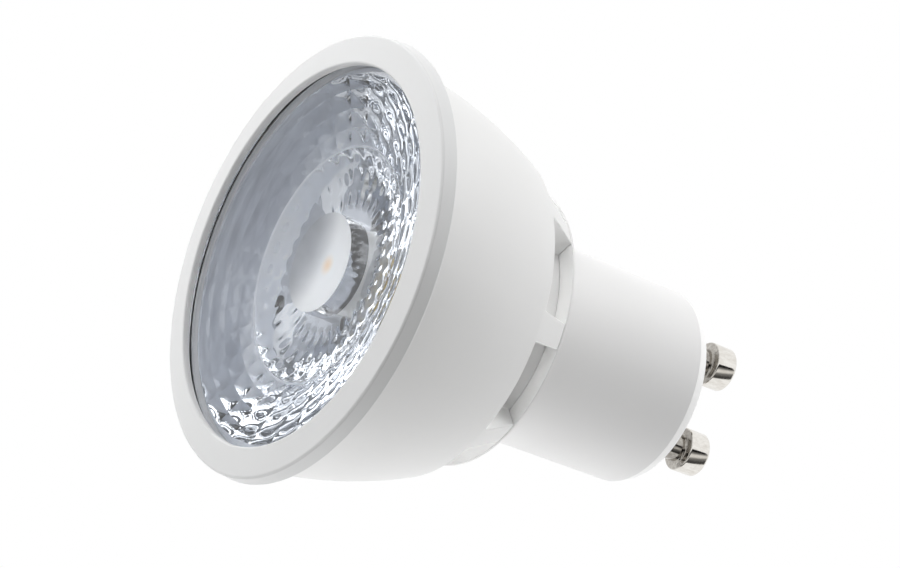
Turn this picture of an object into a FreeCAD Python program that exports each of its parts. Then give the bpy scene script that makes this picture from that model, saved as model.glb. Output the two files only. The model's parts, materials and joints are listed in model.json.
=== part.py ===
import FreeCAD, Part
import math
import os
from FreeCAD import Vector

# A 50 mm reflector-size LED lamp on a two-pin twist-lock cap, in millimetres.
# It stands on its front ring, with the lamp axis on +Z and the pins on top.
# The origin is the centre of the front ring's foremost edge.

# General fits
FIT = 0.1
THREAD_FIT = 0.03
PRESS_FIT = 0.02

# Front ring that holds the lens
BEZEL_R = 25.0
BEZEL_CROWN = 0.55
BEZEL_DEPTH = 2.35
BEZEL_FLARE = 0.2
BEZEL_EDGE = 0.25
BEZEL_FACE = 3.4
LIP_DEPTH = 0.9
WELD_TONGUE = 0.5
WELD_TONGUE_HEIGHT = 0.6

# Moulded lens: a flat front and rim, a faceted drum behind, a smooth collimator with a hollow
LENS_OVERLAP = 0.7
FACET_COUNT = 32
FACET_ROW_ENDS = (0.0, 0.2, 0.47, 0.74, 1.0)
FACET_INSET = 0.6
FACET_ROOT_R = 13.6
FACET_DEPTH = 5.25
FACET_BULGE = 0.37
LENS_DEPTH = 10.25
LENS_TAIL_R = 6.6
TAIL_BULGE = 0.95
CAVITY_R = 5.65
CAVITY_DEPTH = 5.55
PEARL_HEIGHT = 2.4

# Bowl-shaped housing with slots round its shoulder
LENS_LAND = 0.2
BOWL_SLOT_R = 18.85
BOWL_BULGE = 0.84
BOWL_WALL = 1.2
SLOT_Z = 20.2
SLOT_LENGTH = 4.65
SHOULDER_R = 16.0
SLOT_COUNT = 8
RIB_ANGLE = 10.4
SLOT_FLOOR_R = 13.7
SLOT_CORNER = 0.5
SEAM_GROOVE = 0.18
BOSS_WALL = 1.1

# Base: flange on the shoulder, neck, end wall
FLANGE_RIM = 0.3
FLANGE_SLOPE = 1.3
NECK_ROOT_R = 11.45
NECK_END_R = 11.2
NECK_LENGTH = 22.9
NECK_CHAMFER = 0.8
NECK_WALL = 1.2
END_WALL = 1.6
SPIGOT_DEPTH = 3.5
THROAT_TAPER = 2.5

# Contact pins of the twist-lock cap
PIN_SPACING = 10.0
PIN_HEAD_R = 2.5
PIN_HEAD_LENGTH = 2.65
PIN_STEM_R = 1.55
PIN_LENGTH = 9.1
PIN_COLLAR_R = 2.3
PIN_COLLAR = 0.8
PIN_TAIL_R = 0.9
PIN_TAIL = 2.0
PIN_EDGE = 0.18

# Aluminium cup that carries the light source
SINK_WALL = 1.0
SINK_FLOOR = 2.0
SEAT_R = 12.8
SEAT_HEIGHT = 2.6
SINK_MOUTH_Z = 3.2
PAD_R = 12.0
PAD_THICKNESS = 0.2
LED_BOARD_R = 12.4
LED_BOARD_THICKNESS = 1.2
LED_SUBSTRATE_SIDE = 9.5
LED_SUBSTRATE_THICKNESS = 0.8
PHOSPHOR_R = 3.2
PHOSPHOR_HEIGHT = 0.3
SCREW_SPREAD = 9.6
SCREW_R = 1.25
SCREW_HEAD_R = 1.9
SCREW_HEAD_HEIGHT = 1.3
CROSS_WIDTH = 0.5
CROSS_DEPTH = 0.7

# Driver board, standing along the axis in two grooves of the neck
BOARD_Y = -3.0
BOARD_THICKNESS = 1.2
GROOVE_DEPTH = 0.45
BOARD_CLEAR_OF_PINS = 3.65
BOARD_LENGTH = 21.5

# Parts on the driver board; each UP value is a height above the board's foot
CAN_R = 4.0
CAN_LENGTH = 11.0
CAN_X = -4.6
CAN_UP = 2.5
CORE_WIDTH = 8.4
CORE_LENGTH = 10.0
CORE_DEPTH = 4.0
CORE_LIMB = 1.3
CORE_X = 4.5
CORE_UP = 8.0
BOBBIN_WALL = 0.3
WINDING_BUILD = 1.2
CORE_LIFT = 1.7
FILM_SIZE = (7.0, 6.0, 2.6)
FILM_X = -4.7
FILM_UP = 16.5
DISC_R = 2.6
DISC_THICKNESS = 1.8
DISC_X = 4.6
DISC_UP = 15.8
RESISTOR_R = 1.1
RESISTOR_LENGTH = 5.6
RESISTOR_X = 5.0
RESISTOR_UP = 18.6
BRIDGE_SIZE = (4.7, 3.8, 2.2)
BRIDGE_UP = 16.5
CONTROLLER_SIZE = (4.9, 3.9, 1.5)
CONTROLLER_UP = 9.5
COMPONENT_LEAD_R = 0.3
LEAD_STANDOFF = 0.4

# Wires
INPUT_WIRE_R = 0.5
OUTPUT_WIRE_R = 0.5
OUTPUT_WIRE_SPREAD = 1.6
OUTPUT_HOLE_Y = -9.0
INPUT_LANDING = 1.5
OUTPUT_LANDING = 2.6
WIRE_BEND = 1.3

# Places that follow from the sizes above
lip_r = BEZEL_R - BEZEL_FACE
lens_front = LIP_DEPTH + FIT / 2
lens_rim_r = lip_r + LENS_OVERLAP
bowl_front_r = lens_rim_r - LENS_LAND + BOWL_WALL
lens_tail = lens_front + LENS_DEPTH
shelf_z = SLOT_Z - BOWL_WALL
shoulder_z = SLOT_Z + SLOT_LENGTH
neck_end_z = shoulder_z + NECK_LENGTH
boss_bore_r = SLOT_FLOOR_R - BOSS_WALL
sink_back = shelf_z - FIT
sink_face = sink_back - SINK_FLOOR
seat_face = sink_face - SEAT_HEIGHT
pad_face = seat_face - PAD_THICKNESS
led_board_face = pad_face - LED_BOARD_THICKNESS
substrate_face = led_board_face - LED_SUBSTRATE_THICKNESS
neck_bore_r = NECK_END_R - NECK_WALL
end_wall_inner = neck_end_z - END_WALL
spigot_z = shoulder_z - SPIGOT_DEPTH
pin_collar_z = end_wall_inner - PIN_COLLAR
pin_tail_z = pin_collar_z - PIN_TAIL
board_top_z = pin_tail_z - (BOARD_CLEAR_OF_PINS - PIN_COLLAR - PIN_TAIL)
board_foot_z = board_top_z - BOARD_LENGTH
can_z = board_foot_z + CAN_UP
core_z = board_foot_z + CORE_UP
film_z = board_foot_z + FILM_UP
disc_z = board_foot_z + DISC_UP
resistor_z = board_foot_z + RESISTOR_UP
board_front_y = BOARD_Y + BOARD_THICKNESS / 2
board_back_y = BOARD_Y - BOARD_THICKNESS / 2
board_half_width = math.sqrt(neck_bore_r ** 2 - BOARD_Y ** 2) + GROOVE_DEPTH - FIT


def rounded_corner(before, point, after, radius):
    """Start, middle and end of the arc that rounds a corner of a line."""
    back = (before - point).normalize()
    ahead = (after - point).normalize()
    half_angle = back.getAngle(ahead) / 2
    reach = radius / math.tan(half_angle)
    middle = point + (back + ahead).normalize() * (radius / math.sin(half_angle) - radius)
    return point + back * reach, middle, point + ahead * reach


def rounded_outline(corners):
    """Edges of a closed outline of (r, z) corners; a third value rounds its corner."""
    points = [Vector(corner[0], 0, corner[1]) for corner in corners]
    following = points[1:] + points[:1]
    edges = []
    entries = []
    exits = []
    for index, point in enumerate(points):
        radius = corners[index][2] if len(corners[index]) > 2 else 0
        if radius > 0:
            entry, middle, leave = rounded_corner(points[index - 1], point, following[index], radius)
            edges.append(Part.Arc(entry, middle, leave).toShape())
            entries.append(entry)
            exits.append(leave)
        else:
            entries.append(point)
            exits.append(point)
    for index, leave in enumerate(exits):
        edges.append(Part.makeLine(leave, entries[(index + 1) % len(entries)]))
    return Part.sortEdges(edges)[0]


def turned(edges):
    """Solid of revolution about Z from the edges of a closed outline."""
    face = Part.Face(Part.Wire(edges))
    return face.revolve(Vector(0, 0, 0), Vector(0, 0, 1), 360)


def turned_corners(*corners):
    return turned(rounded_outline(corners))


def rod(radius, z_from, z_to, x=0.0, y=0.0):
    return Part.makeCylinder(radius, z_to - z_from, Vector(x, y, z_from))


def block(x_from, x_to, y_from, y_to, z_from, z_to):
    corner = Vector(x_from, y_from, z_from)
    return Part.makeBox(x_to - x_from, y_to - y_from, z_to - z_from, corner)


def copies_round(shape, count):
    copies = []
    for index in range(count):
        copy = shape.copy()
        copy.rotate(Vector(0, 0, 0), Vector(0, 0, 1), 360.0 * index / count)
        copies.append(copy)
    return copies


def bent_wire(points, bend_r, radius):
    """Round wire through the points, with the same bend at each inner point."""
    corners = [Vector(*point) for point in points]
    edges = []
    here = corners[0]
    for index in range(1, len(corners) - 1):
        before, corner, after = corners[index - 1:index + 2]
        entry, middle, leave = rounded_corner(before, corner, after, bend_r)
        edges.append(Part.makeLine(here, entry))
        edges.append(Part.Arc(entry, middle, leave).toShape())
        here = leave
    edges.append(Part.makeLine(here, corners[-1]))
    ring = Part.Wire(Part.makeCircle(radius, corners[0], corners[1] - corners[0]))
    return Part.Wire(edges).makePipeShell([ring], True, False)


def bowl_circle():
    """Centre (z, r) and radius of the arc that the bowl's side follows."""
    half_z = (SLOT_Z - BEZEL_DEPTH) / 2
    half_r = (bowl_front_r - BOWL_SLOT_R) / 2
    half_chord = math.hypot(half_z, half_r)
    radius = (half_chord ** 2 + BOWL_BULGE ** 2) / (2 * BOWL_BULGE)
    back_off = radius - BOWL_BULGE
    centre_z = (SLOT_Z + BEZEL_DEPTH) / 2 - back_off * half_r / half_chord
    centre_r = (bowl_front_r + BOWL_SLOT_R) / 2 - back_off * half_z / half_chord
    return centre_z, centre_r, radius


def bowl_point(z, inset):
    """Point of the bowl's side at height z, moved inwards by inset."""
    centre_z, centre_r, radius = bowl_circle()
    return Vector(centre_r + math.sqrt((radius - inset) ** 2 - (z - centre_z) ** 2), 0, z)


def bowl_arc(z_from, z_to, inset):
    middle = bowl_point((z_from + z_to) / 2, inset)
    return Part.Arc(bowl_point(z_from, inset), middle, bowl_point(z_to, inset)).toShape()


def polyline(*points):
    return [Part.makeLine(points[i], points[i + 1]) for i in range(len(points) - 1)]


def weld_tongue_middle():
    return (lens_rim_r + FIT + bowl_front_r) / 2


def front_bezel():
    recess_r = lens_rim_r + FIT
    ring = turned_corners(
        (lip_r, 0.0, BEZEL_EDGE),
        (BEZEL_R, BEZEL_CROWN, BEZEL_EDGE),
        (BEZEL_R + BEZEL_FLARE, BEZEL_DEPTH, BEZEL_EDGE / 2),
        (recess_r, BEZEL_DEPTH),
        (recess_r, LIP_DEPTH),
        (lip_r, LIP_DEPTH, BEZEL_EDGE / 3),
    )
    half_groove = WELD_TONGUE / 2 + FIT / 2
    groove_top = BEZEL_DEPTH - WELD_TONGUE_HEIGHT - FIT
    outer = rod(weld_tongue_middle() + half_groove, groove_top, BEZEL_DEPTH)
    inner = rod(weld_tongue_middle() - half_groove, groove_top, BEZEL_DEPTH)
    return ring.cut(outer.cut(inner))


def facet_ring(share):
    """Corners of one ring of the facet net, at a share of the way from rim to root."""
    rim_r = lip_r - FACET_INSET
    radius = rim_r + (FACET_ROOT_R - rim_r) * share
    z = BEZEL_DEPTH + FACET_DEPTH * share + FACET_BULGE * 4 * share * (1 - share)
    corners = []
    for index in range(FACET_COUNT):
        angle = 2 * math.pi * index / FACET_COUNT
        corners.append(Vector(radius * math.cos(angle), radius * math.sin(angle), z))
    return corners


def flat_face(corners):
    return Part.Face(Part.makePolygon(corners + [corners[0]]))


def faceted_drum():
    """Closed drum with rows of flat four-cornered facets round its side."""
    rings = [facet_ring(share) for share in FACET_ROW_ENDS]
    faces = [flat_face(rings[0]), flat_face(rings[-1])]
    for front, back in zip(rings, rings[1:]):
        for index in range(FACET_COUNT):
            after = (index + 1) % FACET_COUNT
            faces.append(flat_face([front[index], front[after], back[after], back[index]]))
    drum = Part.Solid(Part.makeShell(faces))
    drum.fix(1e-6, 1e-6, 1e-6)
    return drum


def dome_arc(rim_r, rim_z, rise):
    """Arc of a spherical cap, from its rim to its crown on the axis at rim_z + rise."""
    ball_r = (rim_r ** 2 + rise ** 2) / (2 * abs(rise))
    half_angle = math.asin(rim_r / ball_r) / 2
    drop = math.copysign(ball_r * (1 - math.cos(half_angle)), rise)
    middle = Vector(ball_r * math.sin(half_angle), 0, rim_z + rise - drop)
    return Part.Arc(Vector(rim_r, 0, rim_z), middle, Vector(0, 0, rim_z + rise)).toShape()


def lens_cavity():
    """Hollow in the lens's tail; its frosted roof swells towards the light source."""
    roof_z = lens_tail - CAVITY_DEPTH
    side = polyline(
        Vector(0, 0, roof_z + PEARL_HEIGHT),
        Vector(0, 0, lens_tail + 1),
        Vector(CAVITY_R, 0, lens_tail + 1),
        Vector(CAVITY_R, 0, roof_z),
    )
    return turned(side + [dome_arc(CAVITY_R, roof_z, PEARL_HEIGHT)])


def lens():
    rim = rod(lens_rim_r, lens_front, BEZEL_DEPTH)
    drum_end = BEZEL_DEPTH + FACET_DEPTH
    root_r = FACET_ROOT_R * math.cos(math.pi / FACET_COUNT) - 0.05
    start = Vector(root_r, 0, drum_end)
    end = Vector(LENS_TAIL_R, 0, lens_tail)
    chord = end - start
    bulge = Vector(chord.z, 0, -chord.x).normalize() * TAIL_BULGE
    edges = polyline(
        end,
        Vector(0, 0, lens_tail),
        Vector(0, 0, drum_end - 1),
        Vector(root_r, 0, drum_end - 1),
        start,
    )
    edges.append(Part.Arc(start, (start + end) / 2 + bulge, end).toShape())
    body = rim.fuse([faceted_drum(), turned(edges)]).removeSplitter()
    return body.cut(lens_cavity())


def housing_slot():
    """One slot of the shoulder: open outwards and towards the flange."""
    half = math.pi / SLOT_COUNT - math.radians(RIB_ANGLE) / 2
    reach = bowl_front_r
    outline = [
        Vector(SLOT_FLOOR_R * math.cos(half), -SLOT_FLOOR_R * math.sin(half), SLOT_Z),
        Vector(reach * math.cos(half), -reach * math.sin(half), SLOT_Z),
        Vector(reach * math.cos(half), reach * math.sin(half), SLOT_Z),
        Vector(SLOT_FLOOR_R * math.cos(half), SLOT_FLOOR_R * math.sin(half), SLOT_Z),
    ]
    near_side = Part.makeLine(outline[0], outline[1])
    outside = Part.makeLine(outline[1], outline[2])
    far_side = Part.makeLine(outline[2], outline[3])
    floor = Part.Arc(outline[3], Vector(SLOT_FLOOR_R, 0, SLOT_Z), outline[0]).toShape()
    sector = Part.Face(Part.Wire([near_side, outside, far_side, floor]))
    slot = sector.extrude(Vector(0, 0, shoulder_z - SLOT_Z + 1))
    corners = []
    for edge in slot.Edges:
        middle = edge.CenterOfMass
        along = abs(abs(math.atan2(middle.y, middle.x)) - half) < 0.01
        if abs(middle.z - SLOT_Z) < 0.01 and along:
            corners.append(edge)
    slot = slot.makeFillet(SLOT_CORNER, corners)
    slot.rotate(Vector(0, 0, 0), Vector(0, 0, 1), 180.0 / SLOT_COUNT)
    return slot


def housing():
    slope = (SHOULDER_R - BOWL_SLOT_R) / (shoulder_z - SLOT_Z)
    corner_r = bowl_point(shelf_z, BOWL_WALL).x
    groove_r = SLOT_FLOOR_R - SEAM_GROOVE
    groove_z = shoulder_z - SEAM_GROOVE
    edges = [bowl_arc(BEZEL_DEPTH, SLOT_Z, 0)]
    edges += polyline(
        bowl_point(SLOT_Z, 0),
        Vector(BOWL_SLOT_R + slope * (shoulder_z - SLOT_Z), 0, shoulder_z),
        Vector(boss_bore_r, 0, shoulder_z),
        Vector(boss_bore_r, 0, shelf_z),
        Vector(corner_r, 0, shelf_z),
    )
    edges.append(bowl_arc(shelf_z, BEZEL_DEPTH, BOWL_WALL))
    edges += polyline(bowl_point(BEZEL_DEPTH, BOWL_WALL), bowl_point(BEZEL_DEPTH, 0))
    shell = turned(edges)
    shell = shell.cut(copies_round(housing_slot(), SLOT_COUNT))
    seam = rod(SLOT_FLOOR_R + FIT, groove_z, shoulder_z).cut(rod(groove_r, groove_z, shoulder_z))
    shell = shell.cut(seam)
    tongue_base = BEZEL_DEPTH + FIT
    tongue_tip = BEZEL_DEPTH - WELD_TONGUE_HEIGHT
    outer = rod(weld_tongue_middle() + WELD_TONGUE / 2, tongue_tip, tongue_base)
    inner = rod(weld_tongue_middle() - WELD_TONGUE / 2, tongue_tip, tongue_base)
    return shell.fuse(outer.cut(inner)).removeSplitter()


def base_cap():
    spigot_r = boss_bore_r - FIT
    slope_z = shoulder_z + FLANGE_RIM + FLANGE_SLOPE
    body = turned_corners(
        (spigot_r - NECK_WALL, spigot_z),
        (spigot_r, spigot_z, 0.3),
        (spigot_r, shoulder_z),
        (SHOULDER_R, shoulder_z, FLANGE_RIM / 4),
        (SHOULDER_R, shoulder_z + FLANGE_RIM, FLANGE_RIM / 4),
        (NECK_ROOT_R, slope_z, 0.8),
        (NECK_END_R, neck_end_z - NECK_CHAMFER, 0.3),
        (NECK_END_R - NECK_CHAMFER, neck_end_z, 0.3),
        (0, neck_end_z),
        (0, end_wall_inner),
        (neck_bore_r, end_wall_inner, 0.5),
        (neck_bore_r, shoulder_z + THROAT_TAPER),
        (spigot_r - NECK_WALL, shoulder_z),
    )
    groove_x = board_half_width + FIT
    half_groove = BOARD_THICKNESS / 2 + FIT
    groove_top = board_top_z + FIT
    groove_near = BOARD_Y - half_groove
    groove_far = BOARD_Y + half_groove
    grooves = block(-groove_x, groove_x, groove_near, groove_far, spigot_z - 1, groove_top)
    holes = []
    for side in (-1, 1):
        centre_x = side * PIN_SPACING / 2
        holes.append(rod(PIN_STEM_R + PRESS_FIT, end_wall_inner - 1, neck_end_z + 1, centre_x))
    return body.cut([grooves] + holes)


def contact_pin(side):
    tip = neck_end_z + PIN_LENGTH
    under_head = tip - PIN_HEAD_LENGTH
    pin = turned_corners(
        (0, pin_tail_z),
        (PIN_TAIL_R, pin_tail_z),
        (PIN_TAIL_R, pin_collar_z),
        (PIN_COLLAR_R, pin_collar_z),
        (PIN_COLLAR_R, end_wall_inner),
        (PIN_STEM_R, end_wall_inner),
        (PIN_STEM_R, under_head, 0.3),
        (PIN_HEAD_R, under_head, PIN_EDGE),
        (PIN_HEAD_R, tip, PIN_EDGE * 1.5),
        (0, tip),
    )
    pin.translate(Vector(side * PIN_SPACING / 2, 0, 0))
    return pin


def heatsink_cup():
    outer_inset = BOWL_WALL + FIT
    inner_inset = outer_inset + SINK_WALL
    edges = [bowl_arc(SINK_MOUTH_Z, sink_back, outer_inset)]
    edges += polyline(
        bowl_point(sink_back, outer_inset),
        Vector(0, 0, sink_back),
        Vector(0, 0, seat_face),
        Vector(SEAT_R, 0, seat_face),
        Vector(SEAT_R, 0, sink_face),
        bowl_point(sink_face, inner_inset),
    )
    edges.append(bowl_arc(sink_face, SINK_MOUTH_Z, inner_inset))
    edges += polyline(bowl_point(SINK_MOUTH_Z, inner_inset), bowl_point(SINK_MOUTH_Z, outer_inset))
    cup = turned(edges)
    return cup.cut(screw_holes(THREAD_FIT) + output_wire_holes())


def screw_holes(clearance):
    holes = []
    for side in (-1, 1):
        holes.append(rod(SCREW_R + clearance, led_board_face - 1, sink_back + 1, side * SCREW_SPREAD))
    return holes


def output_wire_holes():
    holes = []
    for side in (-1, 1):
        x = side * OUTPUT_WIRE_SPREAD
        holes.append(rod(OUTPUT_WIRE_R + 2 * FIT, led_board_face - 1, sink_back + 1, x, OUTPUT_HOLE_Y))
    return holes


def thermal_pad():
    return rod(PAD_R, pad_face, seat_face).cut(screw_holes(2 * FIT) + output_wire_holes())


def led_board():
    board = rod(LED_BOARD_R, led_board_face, pad_face)
    return board.cut(screw_holes(2 * FIT) + output_wire_holes())


def led_substrate():
    half = LED_SUBSTRATE_SIDE / 2
    return block(-half, half, -half, half, substrate_face, led_board_face)


def led_phosphor():
    return turned_corners(
        (0, substrate_face - PHOSPHOR_HEIGHT),
        (PHOSPHOR_R, substrate_face - PHOSPHOR_HEIGHT, PHOSPHOR_HEIGHT / 2),
        (PHOSPHOR_R, substrate_face),
        (0, substrate_face),
    )


def board_screw(side):
    head_face = led_board_face - SCREW_HEAD_HEIGHT
    screw = turned_corners(
        (0, head_face),
        (SCREW_HEAD_R, head_face, SCREW_HEAD_HEIGHT / 2),
        (SCREW_HEAD_R, led_board_face),
        (SCREW_R, led_board_face),
        (SCREW_R, sink_back - FIT),
        (0, sink_back - FIT),
    )
    arm = SCREW_HEAD_R * 0.6
    half = CROSS_WIDTH / 2
    recess_z = head_face + CROSS_DEPTH
    along_x = block(-arm, arm, -half, half, head_face - 1, recess_z)
    along_y = block(-half, half, -arm, arm, head_face - 1, recess_z)
    screw = screw.cut([along_x, along_y])
    screw.translate(Vector(side * SCREW_SPREAD, 0, 0))
    return screw


def board_screws():
    return Part.makeCompound([board_screw(-1), board_screw(1)])


def driver_board():
    board = block(
        -board_half_width, board_half_width, board_back_y, board_front_y, board_foot_z, board_top_z
    )
    upright = [edge for edge in board.Edges if abs(edge.tangentAt(edge.FirstParameter).y) > 0.9]
    return board.makeChamfer(0.6, upright)


def bent_lead(x, z, from_y, towards_z):
    """Wire leg of a board part: out along Z, then down to the board."""
    reach = COMPONENT_LEAD_R * 2.5
    out_z = z + towards_z * reach
    low_z = min(z, out_z)
    along = rod(COMPONENT_LEAD_R, low_z, low_z + reach, x, from_y)
    elbow = Part.makeSphere(COMPONENT_LEAD_R, Vector(x, from_y, out_z))
    down = Part.makeCylinder(
        COMPONENT_LEAD_R, from_y - board_front_y, Vector(x, board_front_y, out_z), Vector(0, 1, 0)
    )
    return along.fuse([elbow, down])


def bulk_capacitor():
    groove_z = CAN_LENGTH - 2.0
    can = turned_corners(
        (0, 0),
        (CAN_R, 0, 0.5),
        (CAN_R, groove_z - 0.5, 0.2),
        (CAN_R - 0.4, groove_z, 0.2),
        (CAN_R, groove_z + 0.5, 0.2),
        (CAN_R, CAN_LENGTH, 0.3),
        (0, CAN_LENGTH),
    )
    centre_y = board_front_y + CAN_R
    can.translate(Vector(CAN_X, centre_y, can_z))
    leads = []
    for side in (-1, 1):
        leads.append(bent_lead(CAN_X + side * CAN_R * 0.4, can_z + CAN_LENGTH, centre_y, 1))
    return can.fuse(leads)


def core_centre_y():
    return board_front_y + CORE_LIFT + CORE_DEPTH / 2


def transformer_core():
    y = core_centre_y()
    half_width = CORE_WIDTH / 2
    half_length = CORE_LENGTH / 2
    near = y - CORE_DEPTH / 2
    far = y + CORE_DEPTH / 2
    frame = block(
        CORE_X - half_width, CORE_X + half_width, near, far, core_z - half_length, core_z + half_length
    )
    window = block(
        CORE_X - half_width + CORE_LIMB, CORE_X + half_width - CORE_LIMB,
        near - 1, far + 1,
        core_z - half_length + CORE_LIMB, core_z + half_length - CORE_LIMB,
    )
    centre_limb = rod(CORE_LIMB, core_z - half_length + 0.5, core_z + half_length - 0.5, CORE_X, y)
    return frame.cut(window).fuse(centre_limb).removeSplitter()


def transformer_bobbin():
    y = core_centre_y()
    bore_r = CORE_LIMB + FIT / 2
    drum_r = bore_r + BOBBIN_WALL
    flange_r = drum_r + WINDING_BUILD
    left = CORE_X - flange_r
    right = CORE_X + flange_r
    inner_half = CORE_LENGTH / 2 - CORE_LIMB - FIT / 2
    tube = rod(drum_r, core_z - inner_half, core_z + inner_half, CORE_X, y)
    pieces = []
    for side in (-1, 1):
        flange_edge = core_z + side * inner_half
        flange_inside = core_z + side * (inner_half - BOBBIN_WALL)
        low = min(flange_edge, flange_inside)
        high = max(flange_edge, flange_inside)
        pieces.append(rod(flange_r, low, high, CORE_X, y))
        pieces.append(block(left, right, board_front_y, y, low, high))
        foot_end = core_z + side * CORE_LENGTH / 2
        foot_low = min(foot_end, flange_inside)
        foot_high = max(foot_end, flange_inside)
        foot_top = y - CORE_DEPTH / 2 - PRESS_FIT
        pieces.append(block(left, right, board_front_y, foot_top, foot_low, foot_high))
    bobbin = tube.fuse(pieces).removeSplitter()
    return bobbin.cut(rod(bore_r, core_z - inner_half - 1, core_z + inner_half + 1, CORE_X, y))


def transformer_winding():
    y = core_centre_y()
    drum_r = CORE_LIMB + FIT / 2 + BOBBIN_WALL
    half = CORE_LENGTH / 2 - CORE_LIMB - FIT / 2 - BOBBIN_WALL - PRESS_FIT
    coil = rod(drum_r + WINDING_BUILD - FIT, core_z - half, core_z + half, CORE_X, y)
    return coil.cut(rod(drum_r + PRESS_FIT, core_z - half, core_z + half, CORE_X, y))


def film_capacitor():
    width, height, depth = FILM_SIZE
    low_y = board_front_y + LEAD_STANDOFF
    body = block(
        FILM_X - width / 2, FILM_X + width / 2,
        low_y, low_y + height,
        film_z - depth / 2, film_z + depth / 2,
    )
    body = body.makeFillet(0.3, body.Edges)
    leads = []
    for side in (-1, 1):
        base = Vector(FILM_X + side * width * 0.36, board_front_y, film_z)
        leads.append(Part.makeCylinder(COMPONENT_LEAD_R, LEAD_STANDOFF + 0.5, base, Vector(0, 1, 0)))
    return body.fuse(leads)


def varistor():
    centre_y = board_front_y + LEAD_STANDOFF + DISC_R
    disc = turned_corners(
        (0, -DISC_THICKNESS / 2),
        (DISC_R, -DISC_THICKNESS / 2, DISC_THICKNESS / 3),
        (DISC_R, DISC_THICKNESS / 2, DISC_THICKNESS / 3),
        (0, DISC_THICKNESS / 2),
    )
    disc.translate(Vector(DISC_X, centre_y, disc_z))
    leads = []
    for side in (-1, 1):
        base = Vector(DISC_X + side * DISC_R * 0.5, board_front_y, disc_z)
        length = LEAD_STANDOFF + DISC_R * 0.6
        leads.append(Part.makeCylinder(COMPONENT_LEAD_R, length, base, Vector(0, 1, 0)))
    return disc.fuse(leads)


def fusible_resistor():
    centre_y = board_front_y + RESISTOR_R + LEAD_STANDOFF / 2
    body = turned_corners(
        (0, 0),
        (RESISTOR_R, 0, 0.35),
        (RESISTOR_R, RESISTOR_LENGTH * 0.22, 0.2),
        (RESISTOR_R * 0.86, RESISTOR_LENGTH * 0.3, 0.2),
        (RESISTOR_R * 0.86, RESISTOR_LENGTH * 0.7, 0.2),
        (RESISTOR_R, RESISTOR_LENGTH * 0.78, 0.2),
        (RESISTOR_R, RESISTOR_LENGTH, 0.35),
        (0, RESISTOR_LENGTH),
    )
    body.rotate(Vector(0, 0, 0), Vector(0, 1, 0), 90)
    body.translate(Vector(RESISTOR_X - RESISTOR_LENGTH / 2, centre_y, resistor_z))
    leads = []
    for side in (-1, 1):
        lead_x = RESISTOR_X + side * (RESISTOR_LENGTH / 2 + COMPONENT_LEAD_R)
        base = Vector(lead_x, board_front_y, resistor_z)
        down = Part.makeCylinder(COMPONENT_LEAD_R, centre_y - board_front_y, base, Vector(0, 1, 0))
        elbow = Part.makeSphere(COMPONENT_LEAD_R, Vector(lead_x, centre_y, resistor_z))
        start = Vector(lead_x, centre_y, resistor_z)
        across = Part.makeCylinder(COMPONENT_LEAD_R, COMPONENT_LEAD_R * 2, start, Vector(-side, 0, 0))
        leads += [down, elbow, across]
    return body.fuse(leads)


def flat_package(size, centre_z, legs_per_side):
    """Surface-mounted package on the board's back, with legs along two sides."""
    width, length, height = size
    top_y = board_back_y - 0.15
    body = block(
        -width / 2, width / 2,
        top_y - height, top_y,
        centre_z - length / 2, centre_z + length / 2,
    )
    vertical = [edge for edge in body.Edges if abs(edge.tangentAt(edge.FirstParameter).y) > 0.9]
    body = body.makeChamfer(0.2, vertical)
    pitch = width / legs_per_side
    legs = []
    for index in range(legs_per_side):
        x = -width / 2 + pitch * (index + 0.5)
        near = x - 0.2
        far = x + 0.2
        for side in (-1, 1):
            root = centre_z + side * (length / 2 - 0.2)
            toe = centre_z + side * (length / 2 + 0.9)
            knee = centre_z + side * (length / 2 + 0.3)
            shoulder_y = top_y - height / 2
            shin_from = min(knee, knee - side * 0.2)
            legs.append(block(near, far, shoulder_y, shoulder_y + 0.2, min(root, knee), max(root, knee)))
            legs.append(block(near, far, shoulder_y, board_back_y, shin_from, shin_from + 0.2))
            legs.append(block(near, far, board_back_y - 0.2, board_back_y, min(toe, knee), max(toe, knee)))
    return body.fuse(legs).removeSplitter()


def bridge_rectifier():
    return flat_package(BRIDGE_SIZE, board_foot_z + BRIDGE_UP, 2)


def driver_controller():
    return flat_package(CONTROLLER_SIZE, board_foot_z + CONTROLLER_UP, 4)


def input_wire(side):
    """From a pin's tail down to the driver board's front."""
    x = side * PIN_SPACING / 2
    landing_y = board_front_y + INPUT_WIRE_R
    points = [
        (x, 0, pin_tail_z),
        (x, 0, (pin_tail_z + board_top_z) / 2),
        (x, landing_y, board_top_z - INPUT_LANDING / 2),
        (x, landing_y, board_top_z - INPUT_LANDING),
    ]
    return bent_wire(points, WIRE_BEND * INPUT_WIRE_R, INPUT_WIRE_R)


def output_wire(side):
    """From the driver board's back through the cup's floor to the light source's board."""
    x = side * OUTPUT_WIRE_SPREAD
    start_y = board_back_y - OUTPUT_WIRE_R
    run_z = (board_foot_z + sink_back) / 2
    points = [
        (x, start_y, board_foot_z + OUTPUT_LANDING),
        (x, start_y, run_z),
        (x, OUTPUT_HOLE_Y, run_z),
        (x, OUTPUT_HOLE_Y, led_board_face),
    ]
    return bent_wire(points, WIRE_BEND * OUTPUT_WIRE_R, OUTPUT_WIRE_R)


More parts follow.
